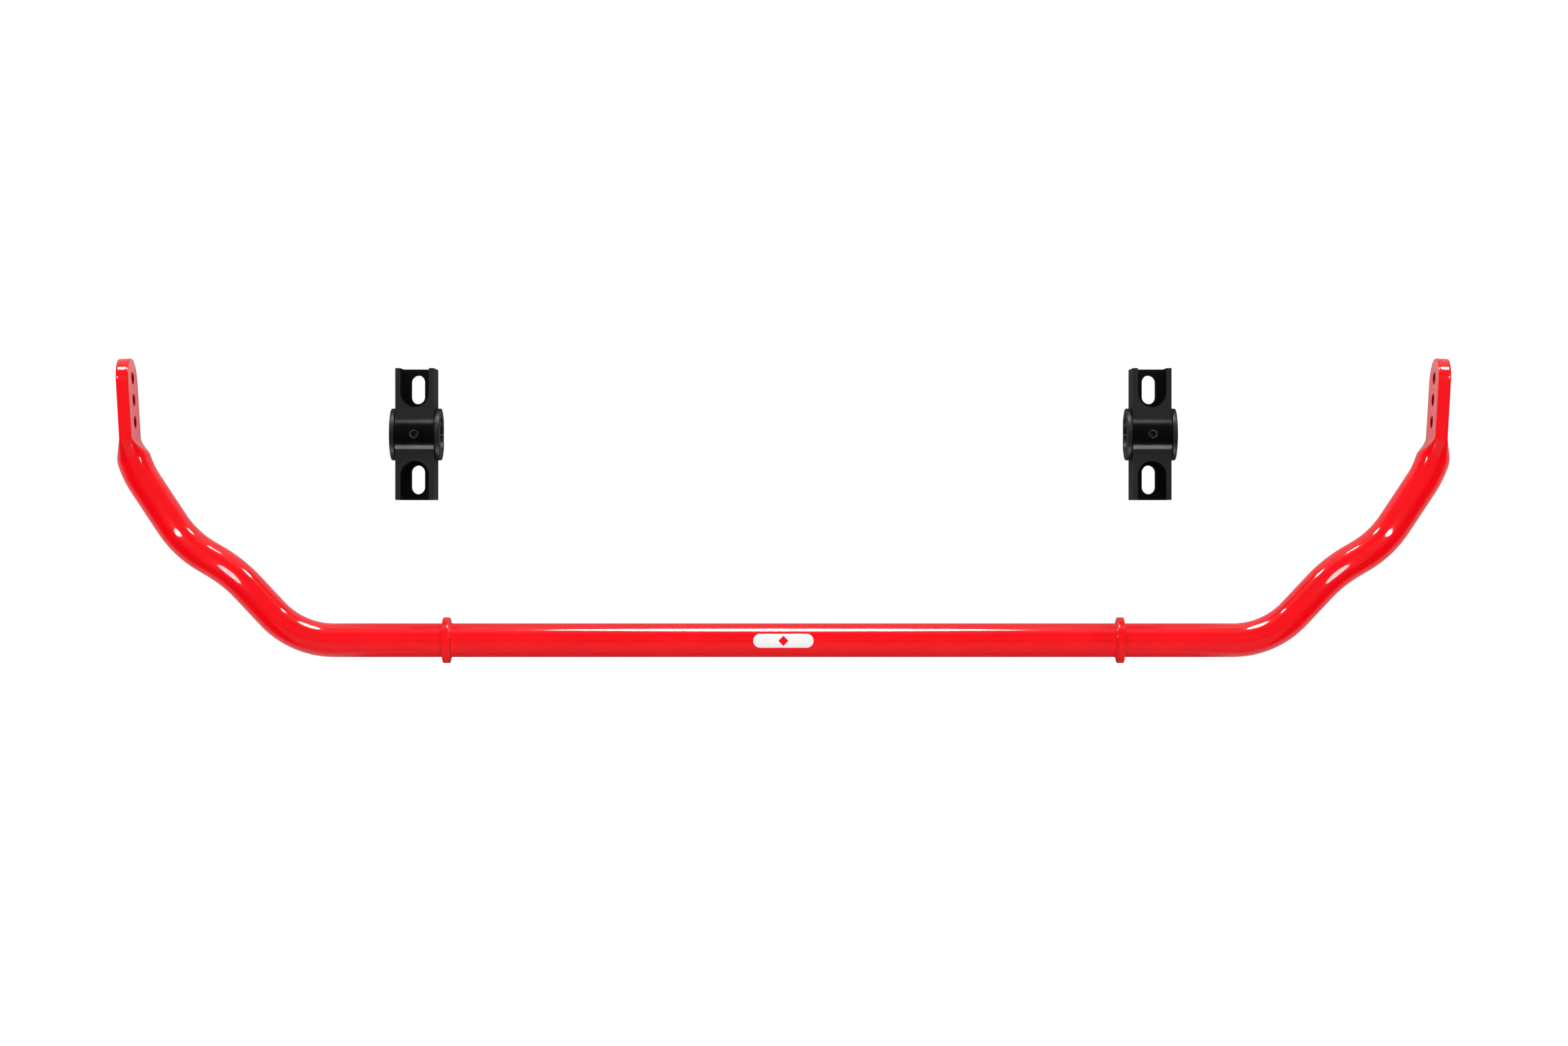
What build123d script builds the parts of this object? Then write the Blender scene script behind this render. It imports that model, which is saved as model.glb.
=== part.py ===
from build123d import *
import math
import os

# Sway bar with its two saddle mounts, laid out flat as a fitting kit.
# Millimetres. X runs along the bar, +Y is the way its arms point, +Z is up.
# The origin is on the floor, under the middle of the whole kit.
# The bar lies on the lower edges of its paddles. The mounts stand beside it on
# their own bases, each in line with its place just outboard of a collar.

# ---- bar ----
BAR_RADIUS = 14.0
BAR_WALL = 5.0
HOLLOW_REACH = 0.7
HOLLOW_END_HALF_GAP = 0.8

# Centreline of the right arm, from the straight middle to the paddle's tip:
# corner points (x, y) counted from the middle of the bar, and their bend radii.
ARM_POINTS = [(404.0, 0.0), (457.0, 56.5), (497.0, 80.0), (542.0, 148.0), (547.0, 234.0)]
BEND_RADII = [70.0, 120.0, 86.0, 80.0]

# ---- paddles, pressed flat from the end of the tube ----
PADDLE_THICKNESS = 10.5
PADDLE_WIDTH = 40.0
FLAT_LENGTH = 65.0
PRESS_LENGTH = 20.0
PRESS_STEPS = 4
PADDLE_EDGE_RADIUS = 1.2
PADDLE_END_RADIUS = 19.9
LINK_HOLE_RADIUS = 5.2
LINK_HOLE_FIRST = 16.7
LINK_HOLE_PITCH = 18.2
LINK_HOLE_COUNT = 3

# ---- collars welded to the bar inboard of the mounts ----
COLLAR_X = 279.8
COLLAR_WIDTH = 5.8
COLLAR_RADIUS = 19.0
COLLAR_EDGE = 0.7
WELD_LEG = 1.5

# ---- mark printed in white at the middle of the bar ----
MARK_LENGTH = 50.0
MARK_HEIGHT = 11.5
MARK_WINDOW = 6.0
MARK_THICKNESS = 0.12

# ---- saddle bracket; its own origin is on the bore axis ----
BRACKET_WIDTH = 32.0
BRACKET_LENGTH = 109.0
BASE_DEPTH = 18.0
EAR_TOP = 16.4
SADDLE_RADIUS = 18.0
DOME_RADIUS = 17.4
DOME_TOP = 22.0
POCKET_WIDTH = 23.6
POCKET_FLOOR = 10.0
POCKET_REACH = 22.2
SLOT_WIDTH = 11.8
SLOT_LENGTH = 24.0
SLOT_SPACING = 75.2
BRACKET_EDGE = 0.4

# ---- flanged bushing ----
RUNNING_GAP = 0.05
NECK_LENGTH = 33.4
FLANGE_THICKNESS = 4.05
FLANGE_RADIUS = 21.6
FLANGE_EDGE = 0.8
BASE_LIFT = 0.2
SLIT_WIDTH = 0.5
GREASE_HOLE_RADIUS = 1.5

# ---- M6 grease port screw ----
SCREW_RADIUS = 3.0
SCREW_THREAD_GAP = 0.05
SCREW_LENGTH = 3.3
SCREW_RECESS = 0.35
SCREW_EDGE = 0.35
SOCKET_ACROSS_FLATS = 3.0
SOCKET_DEPTH = 2.0

# ---- where the kit lies ----
MOUNT_X = 305.0
MOUNT_REACH = 171.0

BAR_Z = PADDLE_WIDTH / 2
BORE_Z = BASE_DEPTH
TIP_REACH = ARM_POINTS[-1][1]
BAR_Y = -(TIP_REACH - COLLAR_RADIUS) / 2
MOUNT_Y = BAR_Y + MOUNT_REACH
OVERSIZE = 60.0
SIDES = {"left": -1, "right": 1}


def arm_path():
    """Centreline of the right half, from the middle of the bar to the paddle's tip."""
    return Wire(FilletPolyline((0, 0), *ARM_POINTS, radius=BEND_RADII).edges())


def paddle_direction():
    """Unit vector along the right paddle, towards its tip."""
    return (Vector(*ARM_POINTS[-1]) - Vector(*ARM_POINTS[-2])).normalized()


def square_to(path, distance):
    """Plane across the path at a distance along it: x in the bar's plane, y along Z."""
    place = path.position_at(distance, position_mode=PositionMode.LENGTH)
    along = path.tangent_at(distance, position_mode=PositionMode.LENGTH)
    return Plane(origin=place, x_dir=along.cross(Vector(0, 0, 1)), z_dir=along)


def section_face(plane, station):
    """Closed section of the bar on a plane, part way (0 to 1) along the pressed stretch."""
    if station == 0:
        return plane * Circle(BAR_RADIUS).face()
    ease = station * station * (3 - 2 * station)
    thin = 2 * BAR_RADIUS + (PADDLE_THICKNESS - 2 * BAR_RADIUS) * ease
    wide = 2 * BAR_RADIUS + (PADDLE_WIDTH - 2 * BAR_RADIUS) * ease
    corner = BAR_RADIUS + (PADDLE_EDGE_RADIUS - BAR_RADIUS) * ease
    return plane * RectangleRounded(thin, wide, corner).face()


def link_hole_centres():
    """Centres of the link holes on the right paddle's centreline."""
    tip = Vector(*ARM_POINTS[-1])
    steps = [LINK_HOLE_FIRST + LINK_HOLE_PITCH * i for i in range(LINK_HOLE_COUNT)]
    return [tip - paddle_direction() * step for step in steps]


def hollow(path, press_start):
    """Space inside the right half of the tube, closing where the tube is pressed flat."""
    radius = BAR_RADIUS - BAR_WALL
    bore = sweep(Plane.YZ * Circle(radius).face(), path=path)
    bore = split(bore, bisect_by=square_to(path, press_start), keep=Keep.BOTTOM)
    start = square_to(path, press_start) * Circle(radius).face()
    end_plane = square_to(path, press_start + PRESS_LENGTH * HOLLOW_REACH)
    end = end_plane * Ellipse(HOLLOW_END_HALF_GAP, radius).face()
    return bore + loft([start, end])


def half_bar():
    """Right half of the bar: hollow tube, pressed transition, flat drilled paddle."""
    path = arm_path()
    press_end = path.length - FLAT_LENGTH
    press_start = press_end - PRESS_LENGTH

    tube = sweep(Plane.YZ * Circle(BAR_RADIUS).face(), path=path)
    tube = split(tube, bisect_by=square_to(path, press_start), keep=Keep.BOTTOM)

    stations = [i / PRESS_STEPS for i in range(PRESS_STEPS + 1)]
    places = [square_to(path, press_start + PRESS_LENGTH * s) for s in stations]
    faces = [section_face(plane, s) for plane, s in zip(places, stations)]
    pressed = loft(faces)

    flat = extrude(faces[-1], amount=FLAT_LENGTH, dir=paddle_direction())
    flat &= paddle_end()
    for centre in link_hole_centres():
        flat -= link_hole(centre)
    return tube + pressed + flat - hollow(path, press_start)


def paddle_end():
    """Block with the paddle's rounded outline, seen square to its flat sides."""
    tip = Vector(*ARM_POINTS[-1])
    face_plane = Plane(origin=tip, x_dir=paddle_direction(), z_dir=across_paddle())
    reach = PADDLE_END_RADIUS
    outline = Pos(-reach, 0) * Circle(reach)
    shank = FLAT_LENGTH + OVERSIZE
    outline += Pos(-reach - shank / 2, 0) * Rectangle(shank, 2 * OVERSIZE)
    return extrude(face_plane * outline, amount=OVERSIZE, both=True)


def across_paddle():
    """Unit vector square to the right paddle's flat sides, away from the car."""
    return paddle_direction().cross(Vector(0, 0, 1))


def link_hole(centre):
    """Drill for one link hole, square to the paddle."""
    plane = Plane(origin=centre, z_dir=across_paddle())
    return plane * Cylinder(LINK_HOLE_RADIUS, OVERSIZE)


def sway_bar():
    """Whole bar, its axis on the origin."""
    right = half_bar()
    return right + mirror(right, about=Plane.YZ)


def collar():
    """Collar on the X axis with its weld bead on the -X side."""
    ring = Cylinder(COLLAR_RADIUS, COLLAR_WIDTH)
    ring = chamfer(ring.edges(), COLLAR_EDGE)
    bead_place = Pos(0, 0, -(COLLAR_WIDTH + WELD_LEG) / 2)
    bead = bead_place * Cone(BAR_RADIUS, BAR_RADIUS + WELD_LEG, WELD_LEG)
    ring = ring + bead - Cylinder(BAR_RADIUS, OVERSIZE)
    return Plane.YZ * ring


def centre_mark():
    """Plain white centring mark, a thin film round the top of the bar."""
    film = Plane.YZ * (
        Cylinder(BAR_RADIUS + MARK_THICKNESS, MARK_LENGTH)
        - Cylinder(BAR_RADIUS, MARK_LENGTH)
    )
    window = Rot(0, 0, 45) * Rectangle(MARK_WINDOW, MARK_WINDOW)
    outline = SlotOverall(MARK_LENGTH, MARK_HEIGHT) - window
    return film & extrude(outline, amount=BAR_RADIUS + OVERSIZE)


def bracket_block():
    """Bracket seen along the bore: ears, raised dome, channel for the bushing."""
    ear_height = BASE_DEPTH + EAR_TOP
    side = Pos(0, EAR_TOP - ear_height / 2) * Rectangle(BRACKET_LENGTH, ear_height)
    side += Pos(0, DOME_TOP - DOME_RADIUS) * Circle(DOME_RADIUS)
    side -= Circle(SADDLE_RADIUS)
    side -= Pos(0, -OVERSIZE / 2) * Rectangle(2 * SADDLE_RADIUS, OVERSIZE)
    return extrude(Plane.YZ * side, amount=BRACKET_WIDTH / 2, both=True)


def ear_pocket(direction):
    """U-shaped pocket over one ear, open at the ear's end."""
    length = BRACKET_LENGTH / 2 - POCKET_REACH + OVERSIZE
    slot = SlotOverall(length, POCKET_WIDTH, rotation=90)
    centre = direction * (POCKET_REACH + length / 2)
    floor = POCKET_FLOOR - BASE_DEPTH
    return Pos(0, centre, floor) * extrude(slot, amount=OVERSIZE)


def bolt_slot(direction):
    """Slot for one mounting bolt."""
    slot = SlotOverall(SLOT_LENGTH, SLOT_WIDTH, rotation=90)
    return Pos(0, direction * SLOT_SPACING / 2, 0) * extrude(slot, amount=OVERSIZE, both=True)


def bracket():
    """Saddle bracket, its bore axis on the origin and its base downwards."""
    body = bracket_block()
    body = chamfer(body.faces().filter_by(Axis.X).edges(), BRACKET_EDGE)
    for direction in (-1, 1):
        body -= ear_pocket(direction)
    body = chamfer(pocket_rims(body), BRACKET_EDGE)
    for direction in (-1, 1):
        body -= bolt_slot(direction)
    port = Pos(0, 0, DOME_TOP) * Cylinder(SCREW_RADIUS, 2 * (DOME_TOP - SADDLE_RADIUS) + 2)
    return body - port


def pocket_rims(body):
    """Upper edges of the two ear pockets."""
    half = POCKET_WIDTH / 2 + 0.1
    tops = body.edges().filter_by_position(Axis.Z, EAR_TOP - 0.01, EAR_TOP + 0.01)
    inner = tops.filter_by_position(Axis.X, -half, half)
    return [edge for edge in inner if abs(edge.center().Y) > POCKET_REACH]


def bushing():
    """Flanged bushing, its bore on the origin, slit along the base."""
    neck = Cylinder(SADDLE_RADIUS - RUNNING_GAP, NECK_LENGTH)
    flange = Cylinder(FLANGE_RADIUS, FLANGE_THICKNESS)
    flange = fillet(flange.edges(), FLANGE_EDGE)
    body = neck
    for direction in (-1, 1):
        offset = direction * (NECK_LENGTH + FLANGE_THICKNESS) / 2
        body += Pos(0, 0, offset) * flange
    body -= Cylinder(BAR_RADIUS + RUNNING_GAP, OVERSIZE)
    body = Plane.YZ * body
    below = Pos(0, 0, -(BASE_DEPTH - BASE_LIFT) - OVERSIZE / 2) * Box(OVERSIZE, OVERSIZE, OVERSIZE)
    slit = Pos(0, 0, -OVERSIZE / 2) * Box(OVERSIZE, SLIT_WIDTH, OVERSIZE)
    grease_hole = Pos(0, 0, OVERSIZE / 2) * Cylinder(GREASE_HOLE_RADIUS, OVERSIZE)
    return body - below - slit - grease_hole


def grease_screw():
    """Socket set screw that closes the grease port in the bracket's dome."""
    radius = SCREW_RADIUS - SCREW_THREAD_GAP
    screw = Cylinder(radius, SCREW_LENGTH)
    screw = chamfer(screw.edges().group_by(Axis.Z)[-1], SCREW_EDGE)
    socket = RegularPolygon(SOCKET_ACROSS_FLATS / 2, 6, major_radius=False)
    screw -= Pos(0, 0, SCREW_LENGTH / 2 - SOCKET_DEPTH) * extrude(socket, amount=SOCKET_DEPTH)
    top = DOME_TOP - SCREW_RECESS
    return Pos(0, 0, top - SCREW_LENGTH / 2) * screw


def kit():
    """Every piece by name, where it lies in the kit."""
    bar_place = Pos(0, BAR_Y, BAR_Z)
    pieces = {"sway_bar": bar_place * sway_bar(), "centre_mark": bar_place * centre_mark()}
    shapes = {"bracket": bracket(), "bushing": bushing(), "grease_screw": grease_screw()}
    for side, sign in SIDES.items():
        ring = collar() if sign > 0 else mirror(collar(), about=Plane.YZ)
        pieces[f"{side}_collar"] = bar_place * Pos(sign * COLLAR_X, 0, 0) * ring
        for name, shape in shapes.items():
            pieces[f"{side}_{name}"] = Pos(sign * MOUNT_X, MOUNT_Y, BORE_Z) * shape
    return pieces


os.makedirs("parts", exist_ok=True)
for name, piece in kit().items():
    export_step(piece, f"parts/{name}.step")
    print(name, round(piece.volume), "mm3")
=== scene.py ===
# %% [markdown]
# # A sway bar and its two saddle mounts
# A sway bar is a spring-steel tube that ties a car's left and right suspension together. Its two
# arms end in flat paddles, which take the end links. Two saddle mounts hold its straight middle to
# the car: a black anodised bracket over a flanged bushing. Here everything lies on a white table as
# a kit, just unpacked. The sizes and places come from the finished CAD model, and this lesson
# makes the surfaces that a viewer sees.

# %% Load the fixed CAD frame
import math

import bmesh
import bpy
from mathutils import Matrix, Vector, noise


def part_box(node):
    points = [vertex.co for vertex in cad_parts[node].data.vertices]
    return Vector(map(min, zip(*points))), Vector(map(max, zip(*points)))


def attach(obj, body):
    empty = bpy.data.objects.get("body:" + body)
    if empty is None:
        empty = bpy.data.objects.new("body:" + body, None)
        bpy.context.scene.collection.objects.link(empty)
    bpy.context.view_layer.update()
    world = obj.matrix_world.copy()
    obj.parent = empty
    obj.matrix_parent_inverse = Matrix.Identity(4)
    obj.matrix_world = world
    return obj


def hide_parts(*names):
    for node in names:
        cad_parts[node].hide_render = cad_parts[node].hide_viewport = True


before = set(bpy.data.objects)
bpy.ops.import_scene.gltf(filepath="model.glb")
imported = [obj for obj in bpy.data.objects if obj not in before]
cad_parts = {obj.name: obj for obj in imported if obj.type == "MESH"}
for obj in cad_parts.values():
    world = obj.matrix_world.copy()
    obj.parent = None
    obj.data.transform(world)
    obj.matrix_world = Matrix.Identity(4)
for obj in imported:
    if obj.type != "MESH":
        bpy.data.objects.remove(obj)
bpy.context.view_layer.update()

# %% [markdown]
# ## Where things are
# Every place is read from the CAD boxes, so nothing has to be fitted later. A collar is a ring round
# the bar, so the middle of its box gives the bar's axis. A bracket stands on the table, so the middle
# of its box and its height above the table give the axis of its bore.

# %% Places from the frame
MM = 0.001
SIDES = {"left": -1, "right": 1}


def middle(node):
    """Centre of a CAD node's box."""
    low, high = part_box(node)
    return (low + high) / 2


BAR_AXIS = Vector((0, middle("left_collar").y, middle("left_collar").z))
BORE_HEIGHT = 18 * MM
MOUNT_CENTRES = {
    side: Vector((middle(f"{side}_bracket").x, middle(f"{side}_bracket").y, BORE_HEIGHT))
    for side in SIDES
}
print("bar axis:", [round(value, 4) for value in BAR_AXIS])
print("mount centres:", {side: [round(v, 4) for v in p] for side, p in MOUNT_CENTRES.items()})

# %% [markdown]
# ## Small tools for meshes
# Blender can make shapes with its menu operators, but a script is easier to read when it hands over
# plain lists of points and faces. These helpers do that. `soften` smooths every face and keeps an
# edge sharp only where two faces meet at a clear angle, as a real machined edge does.


# %% Mesh helpers
def mesh_piece(name, points, faces):
    """New mesh object from points in metres and faces as lists of point numbers."""
    mesh = bpy.data.meshes.new(name)
    mesh.from_pydata([tuple(point) for point in points], [], faces)
    mesh.update()
    piece = bpy.data.objects.new(name, mesh)
    bpy.context.scene.collection.objects.link(piece)
    return piece


def face_outwards(piece):
    """Make all faces of a closed mesh point out of it."""
    work = bmesh.new()
    work.from_mesh(piece.data)
    bmesh.ops.recalc_face_normals(work, faces=work.faces)
    work.to_mesh(piece.data)
    work.free()


def soften(piece, sharp_degrees=30):
    """Shade smooth, except along edges that turn by more than the given angle."""
    work = bmesh.new()
    work.from_mesh(piece.data)
    for face in work.faces:
        face.smooth = True
    for edge in work.edges:
        angle = edge.calc_face_angle(math.pi)
        edge.smooth = angle < math.radians(sharp_degrees)
    work.to_mesh(piece.data)
    work.free()


def settle(piece):
    """Turn a piece's modifiers into plain mesh."""
    graph = bpy.context.evaluated_depsgraph_get()
    mesh = bpy.data.meshes.new_from_object(piece.evaluated_get(graph))
    old = piece.data
    piece.modifiers.clear()
    piece.data = mesh
    mesh.name = piece.name
    bpy.data.meshes.remove(old)


def cut(piece, cutters):
    """Cut other closed meshes out of a piece, then throw the cutters away."""
    for cutter in cutters:
        face_outwards(cutter)
        step = piece.modifiers.new("cut", "BOOLEAN")
        step.object = cutter
        step.operation = "DIFFERENCE"
        step.solver = "EXACT"
    bpy.context.view_layer.update()
    settle(piece)
    for cutter in cutters:
        bpy.data.objects.remove(cutter)


def rings_to_faces(ring_count, ring_size, closed=False):
    """Quads between neighbouring rings that have the same number of points."""
    faces = []
    for ring in range(ring_count if closed else ring_count - 1):
        here = ring * ring_size
        there = (ring + 1) % ring_count * ring_size
        for step in range(ring_size):
            after = (step + 1) % ring_size
            faces.append([here + step, here + after, there + after, there + step])
    return faces


def turned(name, profile, centre, segments=96, wobble=None):
    """Closed ring turned about the X axis: profile is a closed loop of (x, radius)."""
    points = []
    for step in range(segments):
        angle = 2 * math.pi * step / segments
        for x, radius in profile:
            dx, dr = wobble(x, radius, angle) if wobble else (0, 0)
            reach = radius + dr
            spot = Vector((x + dx, reach * math.cos(angle), reach * math.sin(angle)))
            points.append(centre + spot)
    piece = mesh_piece(name, points, rings_to_faces(segments, len(profile), closed=True))
    face_outwards(piece)
    return piece


def prism(name, outline, low, high, place):
    """Straight block from a flat outline; place turns (u, v, depth) into a point."""
    count = len(outline)
    points = [place(u, v, low) for u, v in outline] + [place(u, v, high) for u, v in outline]
    faces = [list(range(count)), [count + i for i in reversed(range(count))]]
    for i in range(count):
        after = (i + 1) % count
        faces.append([i, i + count, after + count, after])
    piece = mesh_piece(name, points, faces)
    face_outwards(piece)
    return piece


def standing_at(at):
    """Placer for a prism that stands on end at a mount, its outline in millimetres."""
    return lambda u, v, depth: at + Vector((u, v, depth)) * MM


def arc(centre_u, centre_v, radius, start, end, steps):
    """Points on an arc, angles in degrees, both ends included."""
    angles = [math.radians(start + (end - start) * i / steps) for i in range(steps + 1)]
    return [(centre_u + radius * math.cos(a), centre_v + radius * math.sin(a)) for a in angles]


# %% [markdown]
# ## The bar's line
# The real bar is one straight tube, bent cold in a machine at a few places. So its line is made the
# same way: corner points joined by straight runs, with a bend of a stated radius at each corner. The
# arm is described once, on the right, and mirrored for the left. `Line` can be asked for the place
# and the direction at any distance, which is what a sweep needs.

# %% Centreline of the right arm
ARM_CORNERS = [(0, 0), (404, 0), (457, 56.5), (497, 80), (542, 148), (547, 234)]
BEND_RADII = [70, 120, 86, 80]


class Line:
    """Flat line of straight runs and tangent bends, measured in millimetres."""

    def __init__(self, corners, radii):
        corners = [Vector(corner) for corner in corners]
        self.runs = []
        start = corners[0]
        for before, corner, after, radius in zip(corners, corners[1:], corners[2:], radii):
            way_in = (corner - before).normalized()
            way_out = (after - corner).normalized()
            turn = way_in.angle_signed(way_out) * -1
            reach = radius * math.tan(abs(turn) / 2)
            bend_start = corner - way_in * reach
            self.add_straight(start, bend_start)
            side = Vector((-way_in.y, way_in.x)) * math.copysign(1, turn)
            self.runs.append(("bend", bend_start, way_in, side, radius, abs(turn), radius * abs(turn)))
            start = corner + way_out * reach
        self.add_straight(start, corners[-1])
        self.length = sum(run[-1] for run in self.runs)

    def add_straight(self, start, end):
        way = (end - start).normalized()
        self.runs.append(("straight", start, way, (end - start).length))

    def at(self, distance):
        """Place and direction at a distance along the line."""
        for run in self.runs:
            if distance <= run[-1] or run is self.runs[-1]:
                break
            distance -= run[-1]
        if run[0] == "straight":
            return run[1] + run[2] * distance, run[2]
        _, start, way_in, side, radius, _, _ = run
        angle = distance / radius
        place = start + way_in * radius * math.sin(angle) + side * radius * (1 - math.cos(angle))
        return place, way_in * math.cos(angle) + side * math.sin(angle)

    def stations(self, straight_step, bend_step):
        """Distances for the rings of a sweep, closer together in the bends."""
        marks, passed = [], 0.0
        for run in self.runs:
            step = straight_step if run[0] == "straight" else bend_step
            count = max(1, round(run[-1] / step))
            marks += [passed + run[-1] * i / count for i in range(count)]
            passed += run[-1]
        return marks + [passed]


ARM = Line(ARM_CORNERS, BEND_RADII)
print(f"half bar: {ARM.length:.1f} mm along its line, whole bar {2 * ARM.length / 1000:.3f} m")

# %% [markdown]
# ## The bar's section
# Most of the bar is a round tube. Each end is heated and pressed flat between dies, so the section
# goes from a circle to a tall, thin rectangle with small rounded edges within one diameter. One
# function gives every section: a rectangle with rounded corners, which is a circle when its corners
# are as large as itself. The points are spaced evenly round it, so rings join without twisting.

# %% Sections from round to flat
BAR_RADIUS = 14.0
PADDLE_HALF_THIN = 5.25
PADDLE_HALF_WIDE = 20.0
PADDLE_EDGE = 1.2
FLAT_LENGTH = 65.0
PRESS_LENGTH = 20.0
END_EDGE = 1.2
QUARTER_POINTS = 26
STRAIGHT_STEP = 12
BEND_STEP = 2.2
PRESS_RINGS = 20
FLAT_RINGS = 24
END_RINGS = 28
LAST_RING_GAP = 0.02


def quarter(half_thin, half_wide, corner):
    """Evenly spaced points on one quarter of a rounded rectangle, from +thin to +wide."""
    side = half_wide - corner
    bend = math.pi / 2 * corner
    top = half_thin - corner
    total = side + bend + top
    points = []
    for i in range(QUARTER_POINTS):
        along = total * i / QUARTER_POINTS
        if along < side:
            points.append((half_thin, along))
        elif along < side + bend:
            angle = (along - side) / corner
            points.append((top + corner * math.cos(angle), side + corner * math.sin(angle)))
        else:
            points.append((top - (along - side - bend), half_wide))
    return points


def section(half_thin, half_wide, corner):
    """All four quarters of a rounded rectangle, in order round it."""
    first = quarter(half_thin, half_wide, corner)
    half = first + [(-u, v) for u, v in mirrored_quarter(first, half_thin, half_wide)]
    return half + [(-u, -v) for u, v in half]


def mirrored_quarter(first, half_thin, half_wide):
    """The second quarter, taken in order: the first one reversed, with its end point added."""
    return [(0.0, half_wide)] + list(reversed(first[1:]))


def section_at(distance):
    """Half sizes and corner radius of the bar at a distance along its half."""
    to_tip = ARM.length - distance
    pressed = (FLAT_LENGTH + PRESS_LENGTH - to_tip) / PRESS_LENGTH
    pressed = min(max(pressed, 0), 1)
    ease = pressed * pressed * (3 - 2 * pressed)
    thin = BAR_RADIUS + (PADDLE_HALF_THIN - BAR_RADIUS) * ease
    wide = BAR_RADIUS + (PADDLE_HALF_WIDE - BAR_RADIUS) * ease
    corner = thin + (PADDLE_EDGE - thin) * ease**3
    if to_tip < PADDLE_HALF_WIDE:
        wide = math.sqrt(PADDLE_HALF_WIDE**2 - (PADDLE_HALF_WIDE - to_tip) ** 2)
    if to_tip < END_EDGE:
        thin -= END_EDGE - math.sqrt(END_EDGE**2 - (END_EDGE - to_tip) ** 2)
    return thin, wide, min(corner, thin, wide)


def bar_stations():
    """Distances of the rings of half the bar."""
    press_start = ARM.length - FLAT_LENGTH - PRESS_LENGTH
    marks = [mark for mark in ARM.stations(STRAIGHT_STEP, BEND_STEP) if mark < press_start]
    marks += [press_start + PRESS_LENGTH * i / PRESS_RINGS for i in range(PRESS_RINGS)]
    flat_end = ARM.length - PADDLE_HALF_WIDE
    flat_start = ARM.length - FLAT_LENGTH
    marks += [flat_start + (flat_end - flat_start) * i / FLAT_RINGS for i in range(FLAT_RINGS)]
    turns = [math.pi / 2 * i / END_RINGS for i in range(END_RINGS)]
    marks += [flat_end + PADDLE_HALF_WIDE * math.sin(turn) for turn in turns]
    return marks + [ARM.length - LAST_RING_GAP]


# %% [markdown]
# ## Sweeping the bar
# A curve with a bevel could make the tube, but it can't press the ends flat. So the rings are laid
# one by one: at each distance, a section square to the line. The link holes are drilled afterwards
# with a boolean, and their rims are broken by a small cone, as a countersink does before coating.


# %% Sweep the bar
def bar_ring(distance):
    """One ring of the right half, in metres in the row frame."""
    place, way = ARM.at(distance)
    across = Vector((way.y, -way.x))
    ring = []
    for u, v in section(*section_at(distance)):
        flat = place + across * u
        ring.append(BAR_AXIS + Vector((flat.x * MM, flat.y * MM, v * MM)))
    return ring


def sweep_bar():
    """The whole bar, tip to tip, as one closed mesh."""
    right = [bar_ring(mark) for mark in bar_stations()]
    left = [[Vector((-p.x, p.y, p.z)) for p in ring] for ring in right[1:]]
    rings = list(reversed(left)) + right
    size = len(rings[0])
    points = [point for ring in rings for point in ring]
    faces = rings_to_faces(len(rings), size)
    faces.append(list(range(size)))
    faces.append([len(points) - 1 - i for i in range(size)])
    bar = mesh_piece("bar_body", points, faces)
    face_outwards(bar)
    return bar


LINK_HOLE_RADIUS = 5.2
LINK_HOLE_STEPS = (16.7, 34.9, 53.1)
RIM_CHAMFER = 0.5
OVERSHOOT = 0.4


def link_hole_drill(side, step):
    """Countersinking drill for one link hole, square to the paddle."""
    tip, way = ARM.at(ARM.length)
    centre = tip - way * step
    wide = LINK_HOLE_RADIUS + RIM_CHAMFER + OVERSHOOT
    face, beyond = PADDLE_HALF_THIN - RIM_CHAMFER, PADDLE_HALF_THIN + OVERSHOOT
    profile = [(-beyond, wide), (-face, LINK_HOLE_RADIUS), (face, LINK_HOLE_RADIUS), (beyond, wide)]
    points, count = [], 64
    across = Vector((way.y, -way.x, 0))
    along = Vector((way.x, way.y, 0))
    for depth, radius in profile:
        for i in range(count):
            angle = 2 * math.pi * i / count
            spot = across * depth + along * radius * math.cos(angle)
            spot += Vector((0, 0, radius * math.sin(angle)))
            point = Vector((centre.x, centre.y, 0)) + spot
            points.append(BAR_AXIS + Vector((side * point.x, point.y, point.z)) * MM)
    faces = rings_to_faces(len(profile), count)
    faces += [list(range(count)), [len(points) - 1 - i for i in range(count)]]
    return mesh_piece("drill", points, faces)


bar = sweep_bar()
cut(bar, [link_hole_drill(sign, step) for sign in SIDES.values() for step in LINK_HOLE_STEPS])
soften(bar)
print("bar:", len(bar.data.vertices), "points,", len(bar.data.polygons), "faces")

# %% [markdown]
# ## Collars and their weld beads
# Each collar is a steel ring welded to the bar, and it stops the bar from sliding sideways in its
# mounts. It is turned about the bar's axis from a closed profile. The bead on its inner side is laid
# by hand on the real bar, so its radius and reach wander a little round the bar: that is noise, kept
# gentle, since the powder coat has rounded it off.

# %% Collars
COLLAR_HALF = 2.9
COLLAR_RADIUS = 19.0
COLLAR_EDGE = 0.7
BEAD_LEG = 1.35


def collar_profile():
    """Closed (x, radius) loop in metres, the bead on its -X side."""
    half, outer, edge = COLLAR_HALF, COLLAR_RADIUS, COLLAR_EDGE
    inner = BAR_RADIUS - 0.4
    points = [(half, inner), (half, BAR_RADIUS + 0.25)]
    points += [(half, outer - edge)]
    points += arc(half - edge, outer - edge, edge, 0, 90, 6)[1:]
    points += arc(edge - half, outer - edge, edge, 90, 180, 6)
    points += [(-half, BAR_RADIUS + BEAD_LEG + 0.35), (-half, BAR_RADIUS + BEAD_LEG)]
    points += arc(-half, BAR_RADIUS, BEAD_LEG, 90, 180, 7)[1:]
    points += [(-half - BEAD_LEG, inner)]
    return [(x * MM, radius * MM) for x, radius in points]


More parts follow.
